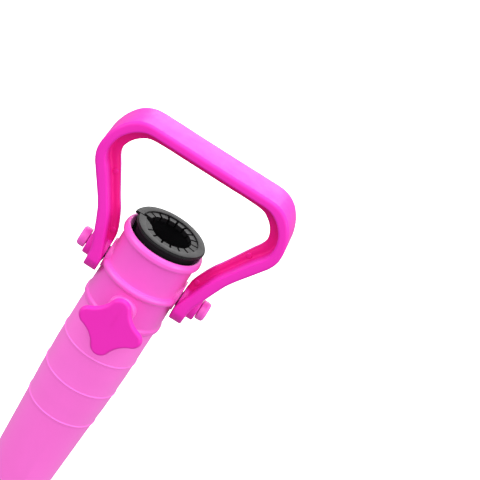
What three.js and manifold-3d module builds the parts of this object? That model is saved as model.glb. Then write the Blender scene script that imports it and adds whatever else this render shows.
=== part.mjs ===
// Screw-in sand anchor for a beach umbrella pole.
//
// A hollow tapered spike with two turns of auger flight carries a moulded head. The head holds a
// split reducer insert that centres the pole, a thumb screw that clamps it, and a loop handle that
// folds about two pins. Units are millimetres, +Z is up, and the origin is the middle of the tip's
// flat end. The thumb screw faces -Y and the handle's pins lie along X.
import * as THREE from 'three';
import { mergeVertices } from 'three/addons/utils/BufferGeometryUtils.js';
import Module from 'manifold-3d';

const wasm = await Module();
wasm.setup();

// ---- driving dimensions ----------------------------------------------------------------------
const headZ = 362; // top face of the reducer insert
const clearance = 0.3; // gap between pieces that touch or run on each other
const roundSides = 48; // facets round the tube, head and insert

const tube = {
  // outer radius at each height, from the tip's flat end to the top rim under the head
  profile: [[8.8, 0], [10.3, 2.2], [12.1, 38], [13.6, 50], [14.3, 92], [15.3, 112],
    [20.5, 232], [21.5, 248], [22.2, 272], [22.2, headZ - 55.4]],
  wall: 2.5,
  boreFloorZ: 12, // the hollow ends this far above the tip
  lineHeights: [headZ - 79.4, headZ - 102.4, headZ - 125.6], // raised lines round the tube
  lineProud: 0.4,
  lineWidth: 1.4,
};

const auger = {
  radius: 30,
  topZ: 120.5, // rim height where the flight starts, on the +X side
  pitch: 50,
  halfTurns: 4, // front, back, front, and the last one cut short behind the tube
  thickness: 3.4,
  webThickness: 3,
  tailX: 2, // the last half turn ends here
};

const collar = {
  boreRadius: 19.2, // holds the insert
  ledgeZ: headZ - 38, // the insert stands on this ledge
  spigotRadius: 19.1,
  spigotBore: 16.4, // lets a 32 mm pole through
  spigotZ: headZ - 80,
  mouthRadius: 20.9,
  neckRadius: 21.45,
  lipRadius: 23.5,
  lipTopZ: headZ - 5.3,
  beadZ: headZ - 30.8,
  beadRadius: 24.1,
  skirtBeadRadius: 23.4,
  skirtZ: headZ - 55.1, // lowest edge of the outside, resting over the tube's rim
};

const pivot = {
  z: headZ - 29.85,
  pinRadius: 3,
  headRadius: 5.7,
  endX: 19.7,
  padX: 23.2, // a round flat pad on each side of the collar, against the ear
  padRadius: 8,
};

const handle = {
  width: 24.6, // along Y
  earInnerX: 23.5,
  bossX: 35.1,
  bossRadius: 7.8,
  webWidth: 6, // the rib that runs round the inside of the rim
  // outline points at the +X side, heights measured from headZ
  outer: [[31, -43], [31.1, -32], [33.7, -21.4], [42.2, -1.9], [51.4, 12.6], [55.1, 20],
    [56.5, 28.5], [53.1, 41], [47.3, 47.3], [39.5, 50.5], [27, 51.4]],
  rim: [[23.5, -43], [23.5, -32], [25.6, -25], [35.4, -1.8], [44.1, 14], [48.8, 20.3],
    [50.9, 28.5], [48, 38], [42.9, 43], [35.5, 46], [27, 46.5]],
  web: [[23.5, -43], [23.5, -20.4], [25.3, -14.3], [34.4, 4.3], [40.1, 14.9], [44.2, 22.4],
    [45.1, 27], [44, 31.8], [40.5, 36.1], [35.5, 39.4], [27, 40.5]],
};

const insert = {
  flangeRadius: 21.7,
  flangeThickness: 1.6,
  sleeveRadius: 18.8,
  sleeveBore: 17.1,
  length: 37.7,
  fingerTop: 0.7, // the fingers lie this far below the flange
  fingerThickness: 2.4,
  poleRadius: 12.9, // the hole that the finger tips leave
  slits: 15,
  firstSlit: -135.3, // degrees from +X
  slitStep: 20.3,
  slitWidth: 1.2,
  splitWidth: 1.2,
  // the opening beside the split, as [x, y]: one finger is left out and its neighbour cut back
  gap: [[-16.8, 0.6], [-12.6, 2.2], [-8, 0], [-11.5, -5.6], [-16.8, -0.6]],
};

const clamp = {
  z: headZ - 49,
  boltRadius: 3,
  tipY: -15.9,
  boltEndY: -35,
  housingRadius: 7.8, // the round-topped housing on the collar that holds the nut
  housingRise: 5.7, // from the screw's axis up to the middle of its round top
  housingY: -25.2,
  nutAcrossFlats: 10,
  nutInnerY: -16.8,
  nutOuterY: -21.4,
  hubRadius: 6,
  hubBackY: -30,
  knobBackY: -33.1,
  knobFaceY: -37.5,
  lobeReach: 18.7, // centre to the end of a lobe
  lobeRadius: 5.8,
  valleyReach: 13.9, // centre to the hollow between two lobes
  turn: 3.5, // degrees
};

// ---- geometry helpers --------------------------------------------------------------------------
function solidOf(geometry) {
  const plain = geometry.index ? geometry.toNonIndexed() : geometry.clone();
  plain.deleteAttribute('normal');
  plain.deleteAttribute('uv');
  const merged = mergeVertices(plain, 1e-4);
  const corners = merged.index.array;
  const kept = [];
  for (let i = 0; i < corners.length; i += 3) {
    const [a, b, c] = corners.slice(i, i + 3);
    if (a !== b && b !== c && c !== a) kept.push(a, b, c);
  }
  const vertProperties = new Float32Array(merged.attributes.position.array);
  return new wasm.Manifold(new wasm.Mesh({ numProp: 3, vertProperties, triVerts: new Uint32Array(kept) }));
}

function meshOf(name, solid, material) {
  const { vertProperties, triVerts } = solid.getMesh();
  const geometry = new THREE.BufferGeometry();
  geometry.setAttribute('position', new THREE.BufferAttribute(vertProperties, 3));
  geometry.setIndex(new THREE.BufferAttribute(triVerts, 1));
  geometry.computeVertexNormals();
  const mesh = new THREE.Mesh(geometry, material);
  mesh.name = name;
  return mesh;
}

// A profile of [radius, height] points turned about Z. The outline runs up the outside, and either
// starts and ends on the axis or closes on itself.
function turned(points, sides = roundSides) {
  const outline = points.map(([radius, height]) => new THREE.Vector2(radius, height));
  return solidOf(new THREE.LatheGeometry(outline, sides).rotateX(Math.PI / 2));
}

function ringProfile(points) {
  return [...points, points[0]];
}

// A round bar along X or Y between two places.
function bar(axis, radius, from, to, z, sides = 24) {
  const geometry = new THREE.CylinderGeometry(radius, radius, Math.abs(to - from), sides);
  if (axis === 'x') geometry.rotateZ(Math.PI / 2);
  const middle = (from + to) / 2;
  geometry.translate(axis === 'x' ? middle : 0, axis === 'y' ? middle : 0, z);
  return solidOf(geometry);
}

function box(from, to) {
  const size = to.map((value, i) => value - from[i]);
  const centre = to.map((value, i) => (value + from[i]) / 2);
  return solidOf(new THREE.BoxGeometry(...size).translate(...centre));
}

// A closed outline in the XZ plane, as [x, z] points, made solid from one Y to another.
function slab(points, fromY, toY) {
  const shape = new THREE.Shape(points.map(([x, z]) => new THREE.Vector2(x, z)));
  const geometry = new THREE.ExtrudeGeometry(shape, { depth: toY - fromY, bevelEnabled: false });
  return solidOf(geometry.rotateX(Math.PI / 2).translate(0, toY, 0));
}

// ---- spike: tube, raised lines and auger flight in one moulding -------------------------------
function tubeRadiusAt(z) {
  const above = tube.profile.findIndex(([, height]) => height >= z);
  const [highRadius, high] = tube.profile[above];
  const [lowRadius, low] = tube.profile[above - 1];
  return lowRadius + ((highRadius - lowRadius) * (z - low)) / (high - low);
}

function tubeSolid() {
  const outside = tube.profile.slice(1, -1);
  for (const z of tube.lineHeights) {
    const half = tube.lineWidth / 2;
    outside.push([tubeRadiusAt(z - half), z - half], [tubeRadiusAt(z) + tube.lineProud, z - half / 2],
      [tubeRadiusAt(z) + tube.lineProud, z + half / 2], [tubeRadiusAt(z + half), z + half]);
  }
  outside.sort((a, b) => a[1] - b[1]);
  const inside = tube.profile
    .filter(([, z]) => z > tube.boreFloorZ)
    .map(([radius, z]) => [radius - tube.wall, z])
    .reverse();
  const floorRadius = tubeRadiusAt(tube.boreFloorZ) - tube.wall;
  return turned([[0, 0], tube.profile[0], ...outside, tube.profile.at(-1), ...inside,
    [floorRadius, tube.boreFloorZ], [0, tube.boreFloorZ]]);
}

// One half turn of the flight is a flat half disc, sloping down from one side to the other.
function flightHalf(index) {
  const { radius, pitch, thickness, tailX } = auger;
  const front = index % 2 === 0;
  const highZ = auger.topZ - (index * pitch) / 2;
  const highX = front ? radius : -radius;
  const slope = pitch / 2 / (2 * radius);
  const zAt = (x) => highZ - slope * Math.abs(highX - x);
  const farX = index === auger.halfTurns - 1 ? tailX : -highX;
  const outline = [[highX, zAt(highX)], [farX, zAt(farX)]];
  const lower = outline.map(([x, z]) => [x, z - thickness]).reverse();
  return slab([...outline, ...lower], front ? -radius : 0, front ? 0 : radius);
}

// Where a front and a back half disc meet at the side, a flat triangle joins their roots.
function flightWeb(index) {
  const { radius, pitch, thickness, webThickness } = auger;
  const side = index % 2 === 0 ? -1 : 1;
  const rimZ = auger.topZ - ((index + 1) * pitch) / 2;
  const rootX = 10;
  const rise = (pitch / 2 / (2 * radius)) * (radius - rootX);
  const outline = [[side * radius, rimZ], [side * rootX, rimZ + rise],
    [side * rootX, rimZ - rise - thickness], [side * radius, rimZ - thickness]];
  return slab(outline, -webThickness / 2, webThickness / 2);
}

function augerSolid() {
  let flights = flightHalf(0);
  for (let i = 1; i < auger.halfTurns; i += 1) {
    flights = flights.add(flightHalf(i)).add(flightWeb(i - 1));
  }
  const lowest = auger.topZ - 2.2 * auger.pitch;
  const round = turned([[0, lowest], [auger.radius, lowest], [auger.radius, auger.topZ], [0, auger.topZ]]);
  const inside = tube.profile.map(([radius, z]) => [radius - tube.wall / 2, z]);
  const core = turned([[0, 0], ...inside, [0, inside.at(-1)[1]]]);
  return flights.intersect(round).subtract(core);
}

// ---- head ------------------------------------------------------------------------------------
function collarSolid() {
  const { boreRadius, mouthRadius, neckRadius, lipRadius, lipTopZ, beadRadius } = collar;
  const { skirtBeadRadius, skirtZ, spigotRadius, spigotBore, spigotZ, ledgeZ, beadZ } = collar;
  let solid = turned(ringProfile([
    [spigotRadius, spigotZ], [spigotRadius, skirtZ], [22.7, skirtZ],
    [skirtBeadRadius, skirtZ + 0.9], [skirtBeadRadius, skirtZ + 3.4], [22.6, skirtZ + 4.3],
    [22.1, beadZ - 1.9], [23.5, beadZ - 1.6], [beadRadius, beadZ - 0.5], [beadRadius, beadZ + 0.5],
    [23.4, beadZ + 1.5], [neckRadius, beadZ + 1.9],
    [neckRadius, lipTopZ - 4.7], [23.2, lipTopZ - 4.5], [lipRadius, lipTopZ - 3.4],
    [23.1, lipTopZ - 1.6], [22.3, lipTopZ - 0.4], [21.6, lipTopZ], [mouthRadius, lipTopZ - 0.3],
    [boreRadius, lipTopZ - 5.2], [boreRadius, ledgeZ], [spigotBore, ledgeZ], [spigotBore, spigotZ],
  ]));
  const { padX, padRadius } = pivot;
  for (const side of [-1, 1]) {
    const [flatX, outX] = [side * padX, side * 30].sort((a, b) => a - b);
    solid = solid
      .add(bar('x', padRadius, side * 19.8, side * padX, pivot.z, 32))
      .subtract(box([flatX, -20, beadZ - 8], [outX, 20, lipTopZ - 8]))
      .subtract(bar('x', pivot.pinRadius + clearance, side * 17, side * 26, pivot.z));
  }
  const { housingRadius, housingRise, housingY } = clamp;
  const pocket = hexBar(clamp.nutAcrossFlats + 2 * clearance, -14.5, clamp.nutOuterY - clearance);
  return solid
    .add(bar('y', housingRadius, -19, housingY, clamp.z + housingRise, 32))
    .add(box([-housingRadius, housingY, clamp.z - 5.5], [housingRadius, -19, clamp.z + housingRise]))
    .subtract(bar('y', clamp.boltRadius + clearance, -12, -27, clamp.z))
    .subtract(pocket);
}

function pivotPin(side) {
  const head = turned([
    [0, pivot.endX], [pivot.pinRadius, pivot.endX], [pivot.pinRadius, 35.5], [5, 35.5],
    [pivot.headRadius, 36], [pivot.headRadius, 38.6], [4.6, 39.7], [3.2, 40.2], [0, 40.2],
  ], 24);
  const mesh = meshOf(side > 0 ? 'pivot_pin_right' : 'pivot_pin_left', head, material.pink);
  mesh.rotation.y = (side * Math.PI) / 2;
  mesh.position.z = pivot.z;
  return mesh;
}

// ---- handle ----------------------------------------------------------------------------------
function halfCurve(points) {
  const [foot, ...bend] = points.map(([x, z]) => new THREE.Vector2(x, headZ + z));
  return [foot, ...new THREE.SplineCurve(bend).getPoints(22)].map(({ x, y }) => [x, y]);
}

// The +X half of an outline, then its mirror image back down the other side.
function arch(points) {
  return [...points, ...points.map(([x, z]) => [-x, z]).reverse()];
}

function handleSolid() {
  const [outer, rim, web] = [handle.outer, handle.rim, handle.web].map(halfCurve);
  const half = handle.width / 2;
  const halfWeb = handle.webWidth / 2;
  const rimBand = slab([...arch(outer), ...arch(rim).reverse()], -half, half);
  const webBand = slab([...arch(outer), ...arch(web).reverse()], -halfWeb, halfWeb);

  // Seen from the side, the handle is a strip with a round end about the pin.
  const side = new THREE.Shape();
  side.absarc(pivot.z, 0, half, Math.PI / 2, (3 * Math.PI) / 2, false);
  side.lineTo(headZ + 60, -half);
  side.lineTo(headZ + 60, half);
  const strip = new THREE.ExtrudeGeometry(side, { depth: 130, bevelEnabled: false, curveSegments: 16 });
  const stripSolid = solidOf(strip.rotateY(-Math.PI / 2).translate(65, 0, 0));

  let solid = rimBand.add(webBand).intersect(stripSolid);
  for (const sign of [-1, 1]) {
    solid = solid
      .add(bar('x', handle.bossRadius, sign * handle.earInnerX, sign * handle.bossX, pivot.z))
      .subtract(bar('x', pivot.pinRadius + clearance, sign * 20, sign * 40, pivot.z));
  }
  return solid;
}

// ---- reducer insert --------------------------------------------------------------------------
function insertSolid() {
  const { flangeRadius, flangeThickness, sleeveRadius, sleeveBore, length, poleRadius } = insert;
  const { fingerTop, fingerThickness, slits, firstSlit, slitStep, slitWidth, splitWidth } = insert;
  const fingerUnder = headZ - fingerTop - fingerThickness;
  let solid = turned(ringProfile([
    [sleeveRadius, headZ - length], [sleeveRadius, headZ - 9], [19.5, headZ - 4],
    [19.6, headZ - flangeThickness], [flangeRadius - 0.2, headZ - flangeThickness],
    [flangeRadius, headZ - 0.8], [flangeRadius - 0.6, headZ], [17, headZ],
    [sleeveBore - 0.3, headZ - fingerTop], [poleRadius, headZ - fingerTop],
    [poleRadius, fingerUnder], [sleeveBore, fingerUnder - 1],
    [sleeveBore, headZ - length],
  ]));
  for (let i = 0; i < slits; i += 1) {
    const slit = box([0, -slitWidth / 2, headZ - 8], [sleeveBore - 0.5, slitWidth / 2, headZ]);
    solid = solid.subtract(slit.rotate([0, 0, firstSlit + i * slitStep]));
  }
  const gap = new THREE.Shape(insert.gap.map(([x, y]) => new THREE.Vector2(x, y)));
  const opening = new THREE.ExtrudeGeometry(gap, { depth: 12, bevelEnabled: false });
  opening.translate(0, 0, headZ - 8);
  return solid
    .subtract(solidOf(opening))
    .subtract(box([-30, -splitWidth / 2, headZ - 60], [0, splitWidth / 2, headZ + 5]));
}

// ---- thumb screw -----------------------------------------------------------------------------
function hexBar(acrossFlats, fromY, toY) {
  const corner = acrossFlats / Math.sqrt(3);
  return bar('y', corner, fromY, toY, clamp.z, 6);
}

function nutSolid() {
  return hexBar(clamp.nutAcrossFlats, clamp.nutInnerY, clamp.nutOuterY)
    .subtract(bar('y', clamp.boltRadius + clearance, -10, -30, clamp.z));
}

// The knob's outline has four lobes, each an arc, joined by wide hollow arcs that touch them.
function knobOutline() {
  const { lobeReach, lobeRadius, valleyReach } = clamp;
  const lobeAt = lobeReach - lobeRadius;
  const spread = Math.SQRT2 * lobeAt;
  const valleyRadius = (lobeAt ** 2 + valleyReach ** 2 - spread * valleyReach - lobeRadius ** 2)
    / (2 * lobeRadius + spread - 2 * valleyReach);
  const valleyAt = valleyReach + valleyRadius;
  const diagonal = valleyAt * Math.SQRT1_2;
  const touch = Math.atan2(diagonal, diagonal - lobeAt);
  const shape = new THREE.Shape();
  for (let i = 0; i < 4; i += 1) {
    const facing = (i * Math.PI) / 2 + THREE.MathUtils.degToRad(clamp.turn);
    const hollowFacing = facing + Math.PI / 4;
    const lobe = [lobeAt * Math.cos(facing), lobeAt * Math.sin(facing)];
    const valley = [valleyAt * Math.cos(hollowFacing), valleyAt * Math.sin(hollowFacing)];
    const meet = facing + touch + Math.PI;
    shape.absarc(...lobe, lobeRadius, facing - touch, facing + touch, false);
    shape.absarc(...valley, valleyRadius, meet, meet - 2 * (touch - Math.PI / 4), true);
  }
  return shape;
}

function knobSolid() {
  const geometry = new THREE.ExtrudeGeometry(knobOutline(), {
    depth: clamp.knobBackY - clamp.knobFaceY - 1.6,
    bevelSize: 0.8,
    bevelThickness: 0.8,
    bevelOffset: -0.8,
    bevelSegments: 2,
    curveSegments: 7,
  });
  geometry.rotateX(Math.PI / 2).translate(0, clamp.knobBackY - 0.8, clamp.z);
  const hub = bar('y', clamp.hubRadius, clamp.hubBackY, clamp.knobBackY - 1, clamp.z);
  const socketEnd = clamp.boltEndY - clearance;
  const socket = bar('y', clamp.boltRadius + clearance, clamp.hubBackY + 5, socketEnd, clamp.z);
  return solidOf(geometry).add(hub).subtract(socket);
}

// ---- the assembly ----------------------------------------------------------------------------
const plastic = (color, roughness) => new THREE.MeshStandardMaterial({ color, roughness, metalness: 0 });
const material = {
  pink: plastic(0xf364cd, 0.45),
  magenta: plastic(0xf747d0, 0.42),
  black: plastic(0x222224, 0.4),
  steel: new THREE.MeshStandardMaterial({ color: 0xb8bbc0, roughness: 0.3, metalness: 1 }),
};

const anchor = new THREE.Group();
anchor.add(meshOf('spike_body', tubeSolid().add(augerSolid()), material.pink));
anchor.add(meshOf('head_collar', collarSolid(), material.pink));
anchor.add(pivotPin(1), pivotPin(-1));
anchor.add(meshOf('carry_handle', handleSolid(), material.magenta));
anchor.add(meshOf('pole_insert', insertSolid(), material.black));
anchor.add(meshOf('clamp_nut', nutSolid(), material.steel));
const bolt = bar('y', clamp.boltRadius, clamp.tipY, clamp.boltEndY, clamp.z);
anchor.add(meshOf('clamp_bolt', bolt, material.steel));
anchor.add(meshOf('clamp_knob', knobSolid(), material.magenta));

export default anchor;
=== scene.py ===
import math

import bmesh
import bpy
from mathutils import Matrix, Vector


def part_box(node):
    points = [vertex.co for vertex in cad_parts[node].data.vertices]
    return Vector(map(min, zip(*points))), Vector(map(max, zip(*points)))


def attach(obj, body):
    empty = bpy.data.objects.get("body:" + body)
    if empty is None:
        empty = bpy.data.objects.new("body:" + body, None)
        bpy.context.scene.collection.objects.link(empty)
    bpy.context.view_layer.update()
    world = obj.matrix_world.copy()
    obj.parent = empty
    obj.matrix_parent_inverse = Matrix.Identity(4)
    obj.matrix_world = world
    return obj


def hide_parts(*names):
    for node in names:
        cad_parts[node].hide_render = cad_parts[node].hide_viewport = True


# A beach umbrella sand anchor in moulded pink plastic: a spike with an auger flight, a collar with a
# split reducer insert, a thumb screw and a folding loop handle. Shapes are written in millimetres,
# in the frame's own axes (+Z up, thumb screw towards -Y), and scaled to metres when they are made.

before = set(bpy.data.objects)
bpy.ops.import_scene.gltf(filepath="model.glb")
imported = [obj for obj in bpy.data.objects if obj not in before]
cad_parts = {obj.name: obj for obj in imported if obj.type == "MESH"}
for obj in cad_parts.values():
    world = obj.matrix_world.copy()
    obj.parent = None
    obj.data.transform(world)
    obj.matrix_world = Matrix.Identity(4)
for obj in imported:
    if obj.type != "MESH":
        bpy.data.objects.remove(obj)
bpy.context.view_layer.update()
MM = 0.001


def node_box(node):
    """The lowest and highest corner of a CAD node, in millimetres."""
    low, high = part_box(node)
    return Vector(low) / MM, Vector(high) / MM


HEAD_Z = node_box("pole_insert")[1].z
TUBE_TOP = node_box("spike_body")[1].z
PIVOT_Z = sum(corner.z for corner in node_box("pivot_pin_right")) / 2
WEB_HALF = 3  # half the thickness of the web inside the handle's rim
CLAMP_Z = sum(corner.z for corner in node_box("clamp_bolt")) / 2
KNOB_FRONT, KNOB_BACK = (corner.y for corner in node_box("clamp_knob"))

# ---- outlines ----------------------------------------------------------------------------------


def arc_corner(before, corner, after, radius, steps):
    """Points of the arc that rounds one corner of an outline."""
    to_before = (before - corner).normalized()
    to_after = (after - corner).normalized()
    half_angle = to_before.angle(to_after) / 2
    reach = radius / math.tan(half_angle)
    room = 0.49 * min((before - corner).length, (after - corner).length)
    reach = min(reach, room)
    radius = reach * math.tan(half_angle)
    centre = corner + (to_before + to_after).normalized() * (radius / math.sin(half_angle))
    start = corner + to_before * reach - centre
    end = corner + to_after * reach - centre
    turn = start.angle(end)
    points = []
    for step in range(steps + 1):
        share = step / steps
        spot = start * math.sin((1 - share) * turn) + end * math.sin(share * turn)
        points.append(centre + spot / math.sin(turn))
    return points


def rounded(outline, closed=False, steps=5):
    """An outline of (a, b) or (a, b, corner radius) points, with the corners rounded."""
    flat = [Vector(point[:2]) for point in outline]
    made = []
    for index, point in enumerate(outline):
        at_end = index in (0, len(outline) - 1) and not closed
        corner = flat[index]
        before = flat[index - 1]
        after = flat[(index + 1) % len(flat)]
        straight = at_end or (corner - before).angle(after - corner, 0) < 0.004
        if straight or len(point) < 3:
            made.append(corner)
        else:
            made.extend(arc_corner(before, corner, after, point[2], steps))
    return made


def spline(points, steps):
    """A smooth curve through the points."""
    padded = [points[0] * 2 - points[1], *points, points[-1] * 2 - points[-2]]
    made = []
    for a, b, c, d in zip(padded, padded[1:], padded[2:], padded[3:]):
        for step in range(steps):
            t = step / steps
            made.append(0.5 * (2 * b + (c - a) * t + (2 * a - 5 * b + 4 * c - d) * t**2
                               + (3 * b - a - 3 * c + d) * t**3))
    return [*made, points[-1]]


# ---- meshes ------------------------------------------------------------------------------------


def piece(name, points, faces, crease=35):
    """A mesh object from points in millimetres, smooth but for its sharp edges."""
    mesh = bpy.data.meshes.new(name)
    mesh.from_pydata([Vector(point) * MM for point in points], [], faces)
    mesh.validate()
    made = bpy.data.objects.new(name, mesh)
    bpy.context.scene.collection.objects.link(made)
    smooth(made, crease)
    return made


def smooth(made, crease=35):
    """Smooth shading, but for edges that turn more than the crease angle in degrees."""
    made.data.shade_smooth()
    made.data.set_sharp_from_angle(angle=math.radians(crease))


def lathe(name, outline, sides=128, closed=False, spot=(0, 0, 0), axis="z", crease=35):
    """The outline of (radius, height) turned about an axis through the spot."""
    points, rows = [], []
    for radius, height in outline:
        on_axis = radius < 1e-6
        row = []
        for side in range(1 if on_axis else sides):
            angle = 2 * math.pi * side / sides
            across, along = radius * math.cos(angle), radius * math.sin(angle)
            local = {
                "x": (height, across, along),
                "y": (along, height, across),
                "z": (across, along, height),
            }
            row.append(len(points))
            points.append(Vector(local[axis]) + Vector(spot))
        rows.append(row)
    faces = []
    pairs = list(zip(rows, rows[1:] + rows[:1])) if closed else list(zip(rows, rows[1:]))
    for low, high in pairs:
        for side in range(sides):
            after = (side + 1) % sides
            corners = [low[side % len(low)], low[after % len(low)],
                       high[after % len(high)], high[side % len(high)]]
            corners = list(dict.fromkeys(corners))
            if len(corners) > 2:
                faces.append(corners)
    return piece(name, points, faces, crease)


def loft(name, rings, crease=35, looped=False):
    """A skin over closed rings of points, with its two ends filled unless it loops."""
    count = len(rings[0])
    points = [point for ring in rings for point in ring]
    faces = []
    last = len(rings) if looped else len(rings) - 1
    for ring in range(last):
        low, high = ring * count, (ring + 1) % len(rings) * count
        for side in range(count):
            after = (side + 1) % count
            faces.append((low + side, low + after, high + after, high + side))
    if not looped:
        faces.append(tuple(reversed(range(count))))
        faces.append(tuple(range(len(points) - count, len(points))))
    return piece(name, points, faces, crease)


def prism(name, outline, low, high, axis="y"):
    """A flat outline made solid between two levels along Y or Z."""

    def ring(level):
        return [(a, b, level) if axis == "z" else (a, level, b) for a, b in outline]

    return loft(name, [ring(low), ring(high)])


def block(name, low, high):
    """A box between two corners."""
    corners = [(low[0], low[1]), (high[0], low[1]), (high[0], high[1]), (low[0], high[1])]
    return prism(name, corners, low[2], high[2], "z")


def bar(radius, start, end, z, axis, sides=48):
    """A bar along X or Y at a height, to cut a hole with: round, or with the sides given."""
    outline = [(0, start), (radius, start), (radius, end), (0, end)]
    return lathe("bar", outline, sides, spot=(0, 0, z), axis=axis)


def outward(made):
    """Turns the mesh's faces to the outside."""
    work = bmesh.new()
    work.from_mesh(made.data)
    bmesh.ops.recalc_face_normals(work, faces=work.faces)
    work.to_mesh(made.data)
    work.free()
    return made


def carve(made, operation, tools, crease=35):
    """Joins the tools to the piece or cuts them from it, one after another."""
    outward(made)
    for tool in tools:
        outward(tool)
        step = made.modifiers.new("carve", "BOOLEAN")
        step.operation = operation
        step.solver = "MANIFOLD"
        step.object = tool
        shape = made.evaluated_get(bpy.context.evaluated_depsgraph_get())
        result = bpy.data.meshes.new_from_object(shape)
        made.modifiers.remove(step)
        old = made.data
        made.data = result
        bpy.data.meshes.remove(old)
        bpy.data.objects.remove(tool)
    made.data.name = made.name
    smooth(made, crease)
    return made


# ---- materials ---------------------------------------------------------------------------------


def shader(name, colour, roughness, **sockets):
    """A new material with its node tree and its Principled shader, whose other sockets are named."""
    material = bpy.data.materials.new(name)
    material.use_nodes = True
    tree = material.node_tree
    surface = tree.nodes["Principled BSDF"]
    surface.inputs["Base Color"].default_value = (*colour, 1)
    surface.inputs["Roughness"].default_value = roughness
    for socket, value in sockets.items():
        surface.inputs[socket.replace("_", " ")].default_value = value
    return material, tree, surface


def noise(tree, place, scale, detail=2.0, stretch=(1, 1, 1)):
    """Noise in the object's own space; the scale is in cycles per metre."""
    mapping = tree.nodes.new("ShaderNodeMapping")
    mapping.inputs["Scale"].default_value = stretch
    tree.links.new(place.outputs["Object"], mapping.inputs["Vector"])
    texture = tree.nodes.new("ShaderNodeTexNoise")
    texture.inputs["Scale"].default_value = scale
    texture.inputs["Detail"].default_value = detail
    tree.links.new(mapping.outputs["Vector"], texture.inputs["Vector"])
    return texture.outputs["Fac"]


def mapped(tree, value, low, high, start=0.3, end=0.7):
    """A value stretched to a new range."""
    node = tree.nodes.new("ShaderNodeMapRange")
    for socket, number in zip(("From Min", "From Max", "To Min", "To Max"), (start, end, low, high)):
        node.inputs[socket].default_value = number
    tree.links.new(value, node.inputs["Value"])
    return node.outputs["Result"]


def moulded_plastic(name, colour, shade, roughness, grain=0.00003, **sockets):
    """Injection-moulded plastic: slight colour drift, faint flow marks, fine mould grain, small scuffs."""
    material, tree, surface = shader(name, colour, roughness, **sockets)
    place = tree.nodes.new("ShaderNodeTexCoord")
    drift = noise(tree, place, 28, 3)
    mix = tree.nodes.new("ShaderNodeMix")
    mix.data_type = "RGBA"
    mix.inputs["A"].default_value = (*colour, 1)
    mix.inputs["B"].default_value = (*shade, 1)
    tree.links.new(mapped(tree, drift, 0, 1), mix.inputs["Factor"])
    tree.links.new(mix.outputs["Result"], surface.inputs["Base Color"])
    flow = noise(tree, place, 160, 4, (1, 1, 0.15))
    tree.links.new(mapped(tree, flow, roughness - 0.05, roughness + 0.06), surface.inputs["Roughness"])
    fine = noise(tree, place, 2600, 2)
    ripple = noise(tree, place, 220, 2)
    bump = tree.nodes.new("ShaderNodeBump")
    bump.inputs["Strength"].default_value = 0.55
    bump.inputs["Distance"].default_value = grain
    tree.links.new(fine, bump.inputs["Height"])
    sink = tree.nodes.new("ShaderNodeBump")
    sink.inputs["Strength"].default_value = 0.5
    sink.inputs["Distance"].default_value = grain * 3
    tree.links.new(ripple, sink.inputs["Height"])
    tree.links.new(bump.outputs["Normal"], sink.inputs["Normal"])
    tree.links.new(sink.outputs["Normal"], surface.inputs["Normal"])
    return material


def paint_recess_shade(material, shade_colour, near, far):
    """Painted shade: deepens the colour towards the plane y = 0, standing in for light that bounces about
    in a hollow.
    """
    tree = material.node_tree
    surface = tree.nodes["Principled BSDF"]
    outer_colour = surface.inputs["Base Color"].links[0].from_socket
    place = tree.nodes.new("ShaderNodeTexCoord")
    split = tree.nodes.new("ShaderNodeSeparateXYZ")
    tree.links.new(place.outputs["Object"], split.inputs["Vector"])
    distance = tree.nodes.new("ShaderNodeMath")
    distance.operation = "ABSOLUTE"
    tree.links.new(split.outputs["Y"], distance.inputs[0])
    mix = tree.nodes.new("ShaderNodeMix")
    mix.data_type = "RGBA"
    mix.inputs["A"].default_value = (*shade_colour, 1)
    tree.links.new(outer_colour, mix.inputs["B"])
    share = mapped(tree, distance.outputs["Value"], 0, 1, near * MM, far * MM)
    tree.links.new(share, mix.inputs["Factor"])
    tree.links.new(mix.outputs["Result"], surface.inputs["Base Color"])


def turned_steel(name):
    """Zinc-plated steel with fine turning marks."""
    material, tree, surface = shader(name, (0.62, 0.63, 0.65), 0.3, Metallic=1.0)
    place = tree.nodes.new("ShaderNodeTexCoord")
    marks = noise(tree, place, 900, 3, (1, 6, 1))
    tree.links.new(mapped(tree, marks, 0.22, 0.42), surface.inputs["Roughness"])
    bump = tree.nodes.new("ShaderNodeBump")
    bump.inputs["Strength"].default_value = 0.4
    bump.inputs["Distance"].default_value = 0.00002
    tree.links.new(marks, bump.inputs["Height"])
    tree.links.new(bump.outputs["Normal"], surface.inputs["Normal"])
    return material


# Each plastic's colour, and the slightly deeper one that it drifts to.
HEAD_COLOURS = (0.88, 0.098, 0.60), (0.86, 0.088, 0.57)
SPIKE_COLOURS = (0.95, 0.155, 0.68), (0.94, 0.145, 0.65)
HANDLE_COLOURS = (0.81, 0.025, 0.48), (0.79, 0.021, 0.45)
INSERT_COLOURS = (0.008, 0.008, 0.009), (0.012, 0.012, 0.013)
# Painted shade: the crimson that the handle's hollow is painted towards, in place of light bouncing between
# rim and web. It is full within the first distance and gone beyond the second.
RECESS_SHADE_COLOUR = (0.78, 0.006, 0.20)
FULL_SHADE_WITHIN, NO_SHADE_BEYOND = 1.8, 9  # distances from the handle's middle plane

PINK = moulded_plastic("pink_plastic", *HEAD_COLOURS, 0.4, Sheen_Weight=0.15)
SPIKE_PINK = moulded_plastic("spike_plastic", *SPIKE_COLOURS, 0.46, Sheen_Weight=0.15)
MAGENTA = moulded_plastic("magenta_plastic", *HANDLE_COLOURS, 0.4, Specular_IOR_Level=0.22)
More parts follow.
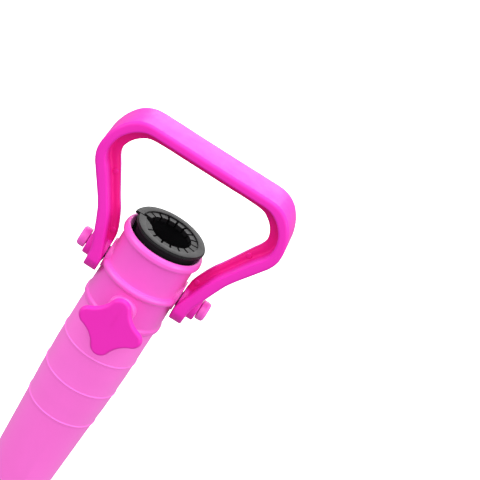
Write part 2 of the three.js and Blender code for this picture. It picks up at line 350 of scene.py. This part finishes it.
# The handle's plastic again as a shaded copy: less gloss, and painted shade that turns its colour crimson
# towards the middle plane, in place of light bouncing in the hollow.
RECESS_PAINTED_SHADE = moulded_plastic("recess_painted_shade", *HANDLE_COLOURS, 0.4, Specular_IOR_Level=0.1)
paint_recess_shade(RECESS_PAINTED_SHADE, RECESS_SHADE_COLOUR, FULL_SHADE_WITHIN, NO_SHADE_BEYOND)
BLACK = moulded_plastic("black_plastic", *INSERT_COLOURS, 0.32, Specular_IOR_Level=0.12)
STEEL = turned_steel("zinc_plated_steel")


def finish_piece(made, material, body, *nodes):
    """Gives a piece its material, the body it rides on and the CAD nodes it stands for."""
    made.data.materials.clear()
    made.data.materials.append(material)
    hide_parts(*nodes)
    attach(made, body)
    return made


# ---- spike -------------------------------------------------------------------------------------
TUBE = [  # outer radius, height, how far the bend is smoothed
    (10.3, 2.2, 0), (12.1, 38, 40), (13.6, 50, 30), (14.3, 92, 60), (15.3, 112, 60),
    (20.5, 232, 200), (21.5, 248, 120), (22.2, 272, 150), (22.2, TUBE_TOP, 0),
]
WALL = 2.5
FLOOR_Z = 12  # the bottom of the tube's hollow
LINES = [HEAD_Z - 79.4, HEAD_Z - 102.4, HEAD_Z - 125.6]
AUGER_RADIUS = 30
AUGER_TOP = 120.5
PITCH = 50
SLOPE = PITCH / 2 / (2 * AUGER_RADIUS)
HALF_TURNS = 4
LAST_SWEEP = math.radians(86)  # the last half turn stops short


def tube_radius(z):
    """The tube's outer radius at a height, before its bends are smoothed."""
    for (low_radius, low, _), (high_radius, high, _) in zip(TUBE, TUBE[1:]):
        if z <= high:
            return low_radius + (high_radius - low_radius) * (z - low) / (high - low)
    return TUBE[-1][0]


def tube_shell():
    """The hollow tube with a rounded foot and three raised lines round it."""
    line_width, proud = 1.4, 0.4
    bends = list(TUBE[1:-1])
    for z in LINES:
        radius = tube_radius(z)
        bends.append((tube_radius(z - line_width / 2), z - line_width / 2, 0.3))
        bends.append((radius + proud, z - line_width / 5, 0.3))
        bends.append((radius + proud, z + line_width / 5, 0.3))
        bends.append((tube_radius(z + line_width / 2), z + line_width / 2, 0.3))
    bends.sort(key=lambda bend: bend[1])
    outside = [(0, 0), (10.05, 0, 2.0), *bends, (TUBE[-1][0], TUBE_TOP, 0.4)]
    inside = [(radius - WALL, z) for radius, z, _ in reversed(TUBE) if z > FLOOR_Z]
    floor = [(tube_radius(FLOOR_Z) - WALL, FLOOR_Z), (0, FLOOR_Z)]
    return lathe("spike_body_visual", rounded([*outside, *inside, *floor]), 144)


def flight_ring(angle, start_z, start_x):
    """The flight's section at one angle, from inside the tube's wall out to the rim and back."""
    rim_half, root_extra = 1.6, 1.0
    upper_fillet, lower_fillet = 3.2, 2.4

    def top(radius):
        return start_z - SLOPE * abs(start_x - radius * math.cos(angle))

    root = tube_radius(top(tube_radius(start_z))) - 0.06
    thickness = 2 * rim_half + 0.1

    def bottom(radius):
        return top(radius) - thickness - root_extra * (AUGER_RADIUS - radius) / (AUGER_RADIUS - root)

    section = [(root - 1.2, top(root) + upper_fillet)]
    for step in range(7):
        turn = math.pi / 2 * step / 6
        radius = root + upper_fillet * (1 - math.cos(turn))
        section.append((radius, top(radius) + upper_fillet * (1 - math.sin(turn))))
    for step in range(9):
        turn = math.pi / 2 - math.pi * step / 8
        radius = AUGER_RADIUS - rim_half + rim_half * math.cos(turn)
        section.append((radius, top(radius) - thickness / 2 + rim_half * math.sin(turn)))
    for step in range(7):
        turn = math.pi / 2 * (1 - step / 6)
        radius = root + lower_fillet * (1 - math.cos(turn))
        section.append((radius, bottom(radius) - lower_fillet * (1 - math.sin(turn))))
    section.append((root - 1.2, bottom(root) - lower_fillet))
    return [(radius * math.cos(angle), radius * math.sin(angle), z) for radius, z in section]


def flight_half(index):
    """Half a turn of the flight: in front on even turns, behind on odd ones, always falling."""
    front = index % 2 == 0
    start_x = AUGER_RADIUS if front else -AUGER_RADIUS
    start_z = AUGER_TOP - index * PITCH / 2
    begin = 0 if front else math.pi
    sweep = math.pi if index < HALF_TURNS - 1 else LAST_SWEEP
    rings = [flight_ring(begin - sweep * step / 60, start_z, start_x) for step in range(61)]
    return loft("flight", rings)


def flight_web(index):
    """The upright triangle that joins a front half turn to the one behind it."""
    side = -1 if index % 2 == 0 else 1
    rim_z = AUGER_TOP - (index + 1) * PITCH / 2
    root, edge = 10, AUGER_RADIUS - 0.5
    rise = SLOPE * (edge - root)
    outline = [(side * edge, rim_z - 0.3), (side * root, rim_z + rise), (side * root, rim_z - rise - 3.6),
               (side * edge, rim_z - 3.0)]
    return prism("web", outline, -1.5, 1.5)


spike = tube_shell()
halves = [flight_half(index) for index in range(HALF_TURNS)]
webs = [flight_web(index) for index in range(HALF_TURNS - 1)]
carve(spike, "UNION", [*halves, *webs], 32)
core_heights = (FLOOR_Z, 38, 50, 92, 112, 232, TUBE_TOP + 1)
core_wall = [(tube_radius(z) - WALL, z) for z in core_heights]
core = lathe("core", [(0, FLOOR_Z), *core_wall, (0, TUBE_TOP + 1)], 96)
carve(spike, "DIFFERENCE", [core], 32)
finish_piece(spike, SPIKE_PINK, "anchor", "spike_body")

# ---- collar ------------------------------------------------------------------------------------
LIP_TOP = HEAD_Z - 5.3
BEAD_Z = HEAD_Z - 31.2
SKIRT_Z = HEAD_Z - 55.5
PAD_RADIUS = 9
PAD_FACE = 22.8  # the flat faces beside the handle's ears
HOLE_RADIUS = 3.3  # the holes for the pins and the stud
NUT_RADIUS = 6.12


def collar_body():
    spigot_z, ledge_z = HEAD_Z - 80, HEAD_Z - 38
    outline = rounded([
        (19.1, spigot_z, 0.8), (19.1, SKIRT_Z), (22.7, SKIRT_Z, 0.5), (23.4, SKIRT_Z + 1.0, 0.9),
        (23.4, SKIRT_Z + 3.2, 1.0), (22.6, SKIRT_Z + 4.4, 0.6), (22.1, BEAD_Z - 2.0, 0.3),
        (23.5, BEAD_Z - 1.9, 0.6), (24.1, BEAD_Z - 0.8, 1.0), (24.1, BEAD_Z + 0.6, 1.3),
        (23.2, BEAD_Z + 1.9, 0.9), (21.7, BEAD_Z + 2.1, 0.4), (21.7, LIP_TOP - 4.8, 0.4),
        (23.2, LIP_TOP - 4.7, 0.5), (23.5, LIP_TOP - 3.7, 0.8), (23.4, LIP_TOP - 2.0, 1.4),
        (22.6, LIP_TOP - 0.4, 1.2), (21.5, LIP_TOP + 0.1, 0.5), (20.9, LIP_TOP - 0.4, 0.4),
        (19.2, LIP_TOP - 5.2, 2), (19.2, ledge_z), (16.4, ledge_z), (16.4, spigot_z, 0.6),
    ], closed=True, steps=6)
    return lathe("head_collar_visual", outline, 160, closed=True)


def pad(side):
    """The round pad on the collar beside one ear of the handle."""
    inner, outer = side * 19.8, side * PAD_FACE
    outline = rounded([(0, inner), (PAD_RADIUS, inner), (PAD_RADIUS, outer, 0.6), (0, outer)])
    return lathe("pad", outline, 96, spot=(0, 0, PIVOT_Z), axis="x")


def nut_housing():
    """The round-topped housing on the collar that holds the nut, its front edge rounded."""
    half_width, rise, low = 7.8, 5.7, -5.5
    back, front, edge = -19, -25.2, 1.6
    outline = [(-half_width, low), (half_width, low)]
    for step in range(25):
        turn = math.pi * step / 24
        outline.append((half_width * math.cos(turn), rise + half_width * math.sin(turn)))
    stations = [(0, back)]
    for step in range(7):
        turn = math.pi * step / 12
        stations.append((edge * (1 - math.cos(turn)), front + edge * (1 - math.sin(turn))))
    rings = []
    for inset, y in stations:
        scale = 1 - inset / half_width
        rings.append([(x * scale, y, CLAMP_Z + rise + (z - rise) * scale) for x, z in outline])
    return loft("housing", rings)


collar = collar_body()
flats, pin_holes = [], []
for side in (-1, 1):
    near, far = sorted((side * PAD_FACE, side * 30))
    flats.append(block("flat", (near, -20, BEAD_Z - 8), (far, 20, LIP_TOP - 8)))
    near, far = sorted((side * 17, side * 26))
    pin_holes.append(bar(HOLE_RADIUS, near, far, PIVOT_Z, "x"))
screw_hole = bar(HOLE_RADIUS, -27, -12, CLAMP_Z, "y")
nut_pocket = bar(NUT_RADIUS, -21.7, -14.5, CLAMP_Z, "y", sides=6)
carve(collar, "UNION", [pad(-1), pad(1), nut_housing()], 32)
carve(collar, "DIFFERENCE", [*flats, *pin_holes, screw_hole, nut_pocket], 32)
finish_piece(collar, PINK, "anchor", "head_collar")

# ---- pivot pins --------------------------------------------------------------------------------
for side, name in ((1, "pivot_pin_right"), (-1, "pivot_pin_left")):
    outline = rounded([(0, 19.7), (3, 19.7, 0.4), (3, 35.5), (5.7, 35.5, 0.5), (5.7, 40.3, 1.9), (0, 40.3)],
                      steps=8)
    pin = lathe(name + "_visual", [(radius, side * x) for radius, x in outline], 64,
                spot=(0, 0, PIVOT_Z), axis="x")
    outward(pin)
    finish_piece(pin, PINK, "anchor", name)

# ---- carry handle ------------------------------------------------------------------------------
# Stations along the +X half, heights above the head: the outer face, the rim's inner edge and the
# inner edge of the web that runs round inside the rim.
STATIONS = [
    ((31, -41.2), (23.5, -41.2), (23.48, -41.2)),
    ((31, -36.5), (23.5, -36.5), (23.48, -36.5)),
    ((31.3, -30.5), (23.6, -31.5), (23.48, -30.5)),
    ((32.3, -25.4), (25.5, -25.2), (23.5, -24)),
    ((34.9, -18.3), (28.4, -17.3), (24.1, -16.8)),
    ((38.3, -9.3), (32.4, -7), (28.5, -5.6)),
    ((41.7, -1.9), (36.6, 0.8), (33.3, 2.8)),
    ((51.0, 12.6), (45.3, 15.6), (41.1, 17.7)),
    ((54.3, 17.9), (48.6, 20.2), (43.7, 22.3)),
    ((56.1, 23), (50.4, 24.3), (44.9, 25.5)),
    ((56.2, 28.5), (50.7, 28.5), (45.0, 28.3)),
    ((55.1, 34.6), (49.7, 33.8), (44.0, 31.4)),
    ((52.3, 41.4), (47.5, 38.3), (42.1, 34.6)),
    ((47.2, 47.8), (43.2, 43.1), (39.1, 37.5)),
    ((39.6, 51.4), (36.8, 46.3), (34.9, 39.8)),
    ((27, 51.8), (27, 46.6), (27, 40.5)),
    ((13, 51.7), (13, 46.6), (13, 40.5)),
    ((0, 51.7), (0, 46.6), (0, 40.5)),
]
HANDLE_HALF = 12.3
FOOT_RADIUS = 12.8
FOOT_ROUND = 1.4
HUB_RADIUS = 7.8
MARKS = ((26.7, -15.8), (42, 14.2))  # the ejector marks, as (x, height above the head)


def handle_half_width(z):
    """The handle's half width at a height: full, then round about the pin."""
    below = max(0, PIVOT_Z - z)
    return min(HANDLE_HALF, math.sqrt(max(0.04, FOOT_RADIUS**2 - below**2)))


def handle_ring(outer, rim, web):
    """The section between the three curves: a flat rim with rounded edges and a web inside it."""
    inward = (rim - outer).normalized()
    onward = web - rim
    depth = (rim - outer).length
    reach = max(onward.length, 0.03)
    onward = onward.normalized() if onward.length > 0.5 else inward
    web_half = min(WEB_HALF, 0.6 * handle_half_width(HEAD_Z + rim.y))
    edge = HANDLE_HALF
    outline = rounded([
        (0, -edge, 1.9), (depth, -edge, 1.2), (depth, -web_half, 1.6), (depth + reach, -web_half, 2.4),
        (depth + reach, web_half, 2.4), (depth, web_half, 1.6), (depth, edge, 1.2), (0, edge, 1.9),
    ], closed=True, steps=6)
    ring = []
    for along, across in outline:
        spot = outer + inward * min(along, depth) + onward * max(0, along - depth)
        z = HEAD_Z + spot.y
        limit = handle_half_width(z)
        if abs(across) > web_half:
            y = across * limit / HANDLE_HALF
        else:
            y = min(max(across, -limit), limit)
        ring.append((spot.x, y, z))
    return ring


def handle_body():
    """The loop from one round foot over the grip to the other, as one skin."""
    lowest = PIVOT_Z - HEAD_Z - FOOT_RADIUS
    outer, rim, web = (corner[0] for corner in STATIONS[0])
    rows = []
    for step in range(6):
        # the foot's edge is rounded
        turn = math.pi / 2 * step / 6
        inset = FOOT_ROUND * (1 - math.sin(turn))
        height = lowest + 0.02 + FOOT_ROUND * (1 - math.cos(turn))
        rows.append([Vector((x, height)) for x in (outer - inset, rim + inset, web + inset)])
    curves = [spline([Vector(station[i]) for station in STATIONS], 8) for i in range(3)]
    rows += zip(*curves)
    rings = [handle_ring(*row) for row in rows]
    mirrored = [[(-x, y, z) for x, y, z in ring] for ring in reversed(rings[:-1])]
    return loft("carry_handle_visual", rings + mirrored, 38)


def hub(side):
    """The boss round one pin, through the handle's ear."""
    inner, outer = side * 23.5, side * 35.1
    outline = rounded([(0, inner), (HUB_RADIUS, inner, 0.3), (HUB_RADIUS, outer, 0.9), (0, outer)])
    return lathe("hub", outline, 72, spot=(0, 0, PIVOT_Z), axis="x")


def ejector_mark(x, z):
    """A low round pip on the front of the web."""
    outline = rounded([(0, -3.6), (1.6, -3.6, 0.5), (1.6, -2), (0, -2)])
    return lathe("mark", outline, 32, spot=(x, 0, HEAD_Z + z), axis="y")


grip = handle_body()
hubs = [hub(side) for side in (-1, 1)]
holes = [bar(HOLE_RADIUS, side * 20, side * 40, PIVOT_Z, "x") for side in (-1, 1)]
marks = [ejector_mark(side * x, z) for side in (-1, 1) for x, z in MARKS]
carve(grip, "UNION", [*hubs, *marks], 38)
carve(grip, "DIFFERENCE", holes, 38)
finish_piece(grip, MAGENTA, "handle", "carry_handle")


def in_recess(face):
    """Whether a face of the handle lies in the hollow between its rim and its web."""
    hub_top, web_fillet, loop_middle, edge_on = 8, 0.8, 20, 0.3
    spot, way = face.center / MM, face.normal
    if spot.z < PIVOT_Z + hub_top:
        return False
    if abs(spot.y) < WEB_HALF + web_fillet:
        return abs(way.y) > edge_on
    return way.x * spot.x + way.z * (spot.z - HEAD_Z - loop_middle) < 0


# The faces in the hollow between rim and web take the second material, which carries painted shade.
grip.data.materials.append(RECESS_PAINTED_SHADE)
for face in grip.data.polygons:
    if in_recess(face):
        face.material_index = 1

# ---- reducer insert ----------------------------------------------------------------------------
SLITS = 15
FIRST_SLIT = math.radians(-135.3)  # from +X
SLIT_STEP = math.radians(20.3)
SPLIT = 0.9
FINGER_TIP, FINGER_ROOT = 12.9, 17.6


def insert_body():
    """The sleeve with its flange, swept round from one side of the split to the other."""
    outline = rounded([
        (18.8, HEAD_Z - 37.7, 0.4), (18.8, HEAD_Z - 9, 2), (19.5, HEAD_Z - 4, 2), (19.6, HEAD_Z - 1.7, 0.2),
        (21.3, HEAD_Z - 1.7, 0.3), (21.75, HEAD_Z - 1.3, 0.3), (21.65, HEAD_Z - 0.75, 0.3),
        (21.2, HEAD_Z - 0.65, 0.1), (21.1, HEAD_Z, 0.2), (16.9, HEAD_Z, 0.2), (16.9, HEAD_Z - 2.5),
        (17.1, HEAD_Z - 4.5), (17.1, HEAD_Z - 37.7, 0.4),
    ], closed=True, steps=4)
    gap = math.asin(SPLIT / 2 / 19)
    rings = []
    for step in range(181):
        angle = -math.pi + gap + (2 * math.pi - 2 * gap) * step / 180
        rings.append([(radius * math.cos(angle), radius * math.sin(angle), z) for radius, z in outline])
    return loft("pole_insert_visual", rings, 32)


def leaf(corners):
    """A flat leaf reaching in from the sleeve to the pole, from corners as (radius, angle)."""
    outline = [(radius * math.cos(angle), radius * math.sin(angle)) for radius, angle in corners]
    return prism("finger", outline, HEAD_Z - 3.1, HEAD_Z - 0.6, "z")


def finger(index):
    """The leaf between two slits."""
    half_slit = 0.62
    start = FIRST_SLIT + SLIT_STEP * index
    corners = []
    for radius, shares in ((FINGER_TIP, (0, 0.33, 0.67, 1)), (FINGER_ROOT, (1, 0.5, 0))):
        trim = half_slit / radius
        corners += [(radius, start + trim + (SLIT_STEP - 2 * trim) * share) for share in shares]
    return leaf(corners)


def cut_back_leaf():
    """The wide leaf on the sprung side of the split, cut back at a slant."""
    shares = (0, 0.33, 0.67, 1)
    tips = [(FINGER_TIP, math.radians(-138 - 16 * share)) for share in shares]
    roots = [(FINGER_ROOT, math.radians(-178 + 40.6 * share)) for share in shares]
    return leaf([*tips, (16.6, math.radians(-177.5)), *roots])


def spring_in(made):
    """Springs the front end of the split ring inwards, more towards its top."""
    start, end, push = -95, -180, 2.1
    lowest, climb = HEAD_Z - 37, 30
    for vertex in made.data.vertices:
        angle = math.degrees(math.atan2(vertex.co.y, vertex.co.x))
        if angle < start:
            share = (start - angle) / (start - end)
            share = share * share * (3 - 2 * share)
            depth = min(1, max(0, (vertex.co.z / MM - lowest) / climb))
            length = vertex.co.xy.length
            vertex.co.xy *= 1 - push * MM * share * depth / length


sleeve = insert_body()
carve(sleeve, "UNION", [*(finger(i) for i in range(SLITS)), cut_back_leaf()], 32)
slot_cut = block("cut", (-30, -SPLIT / 2, HEAD_Z - 60), (-10, SPLIT / 2, HEAD_Z + 5))
carve(sleeve, "DIFFERENCE", [slot_cut], 32)
spring_in(sleeve)
finish_piece(sleeve, BLACK, "insert", "pole_insert")

# ---- thumb screw -------------------------------------------------------------------------------
LOBE_REACH = 18.7
LOBE_RADIUS = 5.8
VALLEY_REACH = 13.0
KNOB_TURN = math.radians(3.5)


def knob_outline():
    """Points and outward directions round the four-lobed outline: lobe arcs joined by hollow ones."""
    lobe_at = LOBE_REACH - LOBE_RADIUS
    spread = math.sqrt(2) * lobe_at
    hollow = ((lobe_at**2 + VALLEY_REACH**2 - spread * VALLEY_REACH - LOBE_RADIUS**2)
              / (2 * LOBE_RADIUS + spread - 2 * VALLEY_REACH))
    hollow_at = VALLEY_REACH + hollow
    diagonal = hollow_at / math.sqrt(2)
    touch = math.atan2(diagonal, diagonal - lobe_at)
    made = []
    for lobe in range(4):
        facing = math.pi / 2 * lobe + KNOB_TURN
        centre = Vector((math.cos(facing), math.sin(facing))) * lobe_at
        for step in range(16):
            turn = facing - touch + 2 * touch * step / 16
            way = Vector((math.cos(turn), math.sin(turn)))
            made.append((centre + way * LOBE_RADIUS, way))
        between = facing + math.pi / 4
        centre = Vector((math.cos(between), math.sin(between))) * hollow_at
        half = touch - math.pi / 4
        for step in range(12):
            turn = between + math.pi + half - 2 * half * step / 12
            way = Vector((math.cos(turn), math.sin(turn)))
            made.append((centre + way * hollow, -way))
    return made


def knob_body():
    """The hub, the lobed plate and its flat face, as rings from back to front."""
    outline = knob_outline()
    front_round, back_round, draft = 1.5, 1.0, 0.4
    hub_radius, plate_back = 6, KNOB_FRONT + 3.1
    face_inset, face_scales = 2.9, (0.42, 0.12)
    rings = []

    def ring(inset, y):
        rings.append([(spot.x - way.x * inset, y, CLAMP_Z + spot.y - way.y * inset)
                      for spot, way in outline])

    def small_ring(scale, y):
        rings.append([(spot.x * scale, y, CLAMP_Z + spot.y * scale) for spot, way in outline])

    def round_ring(radius, y):
        ways = [spot.normalized() for spot, way in outline]
        rings.append([(way.x * radius, y, CLAMP_Z + way.y * radius) for way in ways])

    round_ring(0.3 * hub_radius, KNOB_BACK)
    round_ring(hub_radius - 0.5, KNOB_BACK)
    round_ring(hub_radius, KNOB_BACK - 0.5)
    round_ring(hub_radius + 0.2, plate_back + 0.9)
    round_ring(hub_radius + 1.1, plate_back)
    for step in range(6):
        turn = math.pi / 2 * step / 5
        ring(back_round * (1 - math.sin(turn)), plate_back - back_round * (1 - math.cos(turn)))
    for step in range(8):
        turn = math.pi / 2 * step / 7
        ring(draft + front_round * (1 - math.cos(turn)), KNOB_FRONT + front_round * (1 - math.sin(turn)))
    ring(draft + front_round + 0.3, KNOB_FRONT)
    ring(face_inset, KNOB_FRONT)
    for scale in face_scales:
        small_ring(scale, KNOB_FRONT)
    return loft("clamp_knob_visual", rings, 40)


def threaded_rod():
    """An M6 stud: the thread's crest and root run round it as one helix."""
    low, high = (corner.y for corner in node_box("clamp_bolt"))
    pitch, depth, radius = 1.0, 0.55, 2.98
    sides, steps = 32, int((high - low) / pitch * 10)
    rings = []
    for step in range(steps + 1):
        y = low + (high - low) * step / steps
        fade = min(1, (y - low) / 1.2, (high - y) / 1.2)
        ring = []
        for side in range(sides):
            turn = 2 * math.pi * side / sides
            phase = (y / pitch - side / sides) % 1
            groove = depth * (1 - abs(2 * phase - 1)) + (1 - fade) * 0.5
            reach = radius - groove
            ring.append((reach * math.sin(turn), y, CLAMP_Z + reach * math.cos(turn)))
        rings.append(ring)
    return loft("clamp_bolt_visual", rings, 60)


knob = knob_body()
socket = bar(HOLE_RADIUS, -35.3, -25, CLAMP_Z, "y")
mould_line = block("line", (-0.22, KNOB_FRONT - 0.1, CLAMP_Z + 1), (0.22, KNOB_FRONT + 1, CLAMP_Z + 15.2))
carve(knob, "UNION", [mould_line], 40)
carve(knob, "DIFFERENCE", [socket], 40)
finish_piece(knob, MAGENTA, "knob", "clamp_knob")
finish_piece(outward(threaded_rod()), STEEL, "screw", "clamp_bolt")


def repaint(node, material):
    """Gives a CAD node that stays in view a better material."""
    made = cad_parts[node]
    for slot in made.material_slots:
        slot.material = material


repaint("clamp_nut", STEEL)

# ---- floor, light and camera -------------------------------------------------------------------
floor_material = shader("studio_floor", (0.9, 0.9, 0.9), 0.9, Specular_IOR_Level=0.0,
                        Emission_Color=(1, 1, 1, 1), Emission_Strength=0.5)[0]
bpy.ops.mesh.primitive_plane_add(size=30, location=(0, 0, 0))
floor = bpy.context.object
floor.name = "studio_floor"
floor.data.materials.append(floor_material)
floor.visible_diffuse = False
floor.visible_glossy = False

world = bpy.data.worlds.new("studio")
bpy.context.scene.world = world
world.use_nodes = True
sky = world.node_tree
sky_place = sky.nodes.new("ShaderNodeTexCoord")
sky_split = sky.nodes.new("ShaderNodeSeparateXYZ")
sky.links.new(sky_place.outputs["Generated"], sky_split.inputs["Vector"])
background = sky.nodes["Background"]
background.inputs["Color"].default_value = (1, 1, 1, 1)
glow = mapped(sky, sky_split.outputs["Z"], 0.35, 1.1, -0.4, 0.6)
seen = sky.nodes.new("ShaderNodeLightPath").outputs["Is Camera Ray"]
brightest = sky.nodes.new("ShaderNodeMath")
brightest.operation = "MAXIMUM"
sky.links.new(glow, brightest.inputs[0])
sky.links.new(seen, brightest.inputs[1])
sky.links.new(brightest.outputs["Value"], background.inputs["Strength"])


LIGHT_TARGET = Vector((0, 0, 0.28))


def soft_light(name, azimuth, elevation, distance, size, power):
    """A round area light aimed at the upper tube, from angles in degrees and a distance in metres."""
    lamp = bpy.data.lights.new(name, "AREA")
    lamp.shape = "DISK"
    lamp.size = size
    lamp.energy = power
    made = bpy.data.objects.new(name, lamp)
    made.visible_camera = False
    bpy.context.scene.collection.objects.link(made)
    a, e = math.radians(azimuth), math.radians(elevation)
    back = Vector((math.sin(a) * math.cos(e), -math.cos(a) * math.cos(e), math.sin(e)))
    made.location = LIGHT_TARGET + back * distance
    made.rotation_mode = "QUATERNION"
    made.rotation_quaternion = back.to_track_quat("Z", "Y")


soft_light("overhead_light", 0, 84, 1.3, 1.0, 8)
soft_light("back_light", 182, 26, 1.7, 1.1, 7.5)
soft_light("front_light", 6, 40, 1.7, 0.9, 3.5)
soft_light("left_light", -62, 20, 1.7, 0.9, 8.5)
soft_light("right_light", 62, 20, 1.7, 0.9, 8.5)

# The camera looks at the head from in front and above, rolled so that the spike runs down to the
# left. Its distances are in metres.
AZIMUTH = math.radians(-2.4)
ELEVATION = math.radians(25.4)
ROLL = math.radians(33.4)
DISTANCE = 1.068
LENS = 150
HEAD_LEFT = 0.0370  # how far the head's top lies left of the picture's middle
HEAD_UP = 0.0044  # and above it

head = Vector((0, 0, HEAD_Z * MM))
back = Vector((math.sin(AZIMUTH) * math.cos(ELEVATION), -math.cos(AZIMUTH) * math.cos(ELEVATION),
               math.sin(ELEVATION)))
right = Vector((math.cos(AZIMUTH), math.sin(AZIMUTH), 0))
up = back.cross(right)
across = right * math.cos(ROLL) + up * math.sin(ROLL)
upward = up * math.cos(ROLL) - right * math.sin(ROLL)
camera_data = bpy.data.cameras.new("camera")
camera_data.lens = LENS
camera_data.sensor_width = 36
camera_data.clip_start = 0.05
camera_data.clip_end = 60
camera = bpy.data.objects.new("camera", camera_data)
bpy.context.scene.collection.objects.link(camera)
camera.location = head + back * DISTANCE + across * HEAD_LEFT - upward * HEAD_UP
camera.rotation_mode = "QUATERNION"
camera.rotation_quaternion = Matrix((across, upward, back)).transposed().to_quaternion()
bpy.context.scene.camera = camera
bpy.context.scene.view_settings.view_transform = "Standard"
